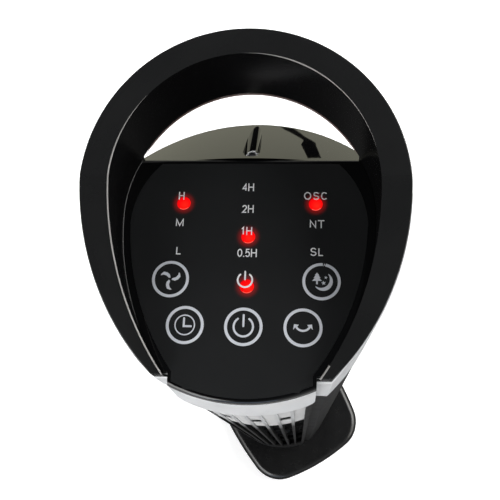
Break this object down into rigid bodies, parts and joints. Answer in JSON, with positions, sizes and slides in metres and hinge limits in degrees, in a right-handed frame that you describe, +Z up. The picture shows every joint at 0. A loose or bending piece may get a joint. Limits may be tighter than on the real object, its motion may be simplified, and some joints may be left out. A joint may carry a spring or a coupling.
{
  "type": "tower fan",
  "caption": "Slim oscillating tower fan with a ring carrying handle around a sloped touch control deck, upright grille bars and a rounded base.",
  "frame": {"origin": "centre of the base's underside, on the floor and on the swivel axis", "axes": "+Z up the tower, -Y the way the grille and the front of the control deck face, +X to the right of someone who stands in front reading the control deck"},
  "size_m": [0.2274, 0.2432, 0.7411],
  "materials": {
    "body_black": "moulded, soft gloss",
    "ring_black": "satin top, polished inside",
    "deck_black": "high gloss",
    "lens_black": "smooth gloss touch sheet with pale printed icons",
    "base_black": "high gloss",
    "plate_black": "moulded matte",
    "silver_plastic": "silver paint, satin",
    "grille_black": "black gloss frame, bars shaded silver towards the top",
    "grey_plastic": "light grey moulded",
    "blower_black": "moulded",
    "rubber": "moulded",
    "screw_steel": "zinc plated",
    "white_acetal": "machined acetal",
    "zinc_steel": "zinc plated pressing",
    "core_steel": "stacked laminations",
    "copper_wire": "enamelled winding",
    "bearing_bronze": "sintered",
    "board_green": "solder resist",
    "part_plastic": "moulded",
    "red_lamp": "clear red, lit",
    "foam_grey": "conductive foam",
    "ribbon_white": "flat cable"
  },
  "bodies": {
    "base": {"base_cover": "base_black", "base_plate": "plate_black", "rubber_feet": "rubber", "base_screws": "screw_steel", "cable_inlet": "plate_black", "fixed_gear": "white_acetal", "gear_screws": "screw_steel", "thrust_washer": "white_acetal", "glide_ring": "white_acetal"},
    "head": {"air_duct": "plate_black", "bracket_screws": "screw_steel", "control_board": "board_green", "control_lens": "lens_black", "control_parts": "part_plastic", "control_screws": "screw_steel", "front_collar": "silver_plastic", "front_grille": "grille_black", "handle_grip": "ring_black", "led_lamps": "red_lamp", "light_mask": "plate_black", "lower_front_cover": "body_black", "motor_bearings": "bearing_bronze", "motor_bolts": "screw_steel", "motor_lower_cover": "zinc_steel", "motor_screws": "screw_steel", "motor_upper_cover": "zinc_steel", "power_board": "board_green", "power_board_screws": "screw_steel", "power_parts": "part_plastic", "rear_housing": "body_black", "rear_screw": "screw_steel", "retaining_ring": "white_acetal", "ribbon_cable": "ribbon_white", "rubber_bush": "rubber", "rubber_dampers": "rubber", "side_trim_left": "silver_plastic", "side_trim_right": "silver_plastic", "stator_coils": "copper_wire", "stator_core": "core_steel", "swing_motor": "zinc_steel", "swing_motor_screws": "screw_steel", "swing_plate": "body_black", "top_deck": "deck_black", "top_shell": "ring_black", "touch_pads": "foam_grey", "upper_bearing": "bearing_bronze", "upper_bracket": "grey_plastic"},
    "impeller": {"impeller_sections": "blower_black", "impeller_hub": "blower_black", "impeller_cap": "blower_black", "pivot_pin": "screw_steel", "grub_screw": "screw_steel", "motor_shaft": "screw_steel", "rotor_core": "core_steel"},
    "swing_pinion": {"swing_pinion": "white_acetal"}
  },
  "joints": [
    {"name": "oscillation", "type": "hinge", "parent": "base", "child": "head", "pos_m": [0, 0, 0.04], "axis": [0, 0, 1], "range_deg": [-3.6, 66.4]},
    {"name": "impeller_spin", "type": "hinge", "parent": "head", "child": "impeller", "pos_m": [0, 0.01, 0.35], "axis": [0, 0, 1], "continuous": true},
    {"name": "pinion_spin", "type": "hinge", "parent": "head", "child": "swing_pinion", "pos_m": [0, -0.03885, 0.03], "axis": [0, 0, 1], "range_deg": [-20, 240]}
  ],
  "couplings": [
    {"joint": "pinion_spin", "follows": "oscillation", "ratio": 3.4286}
  ]
}
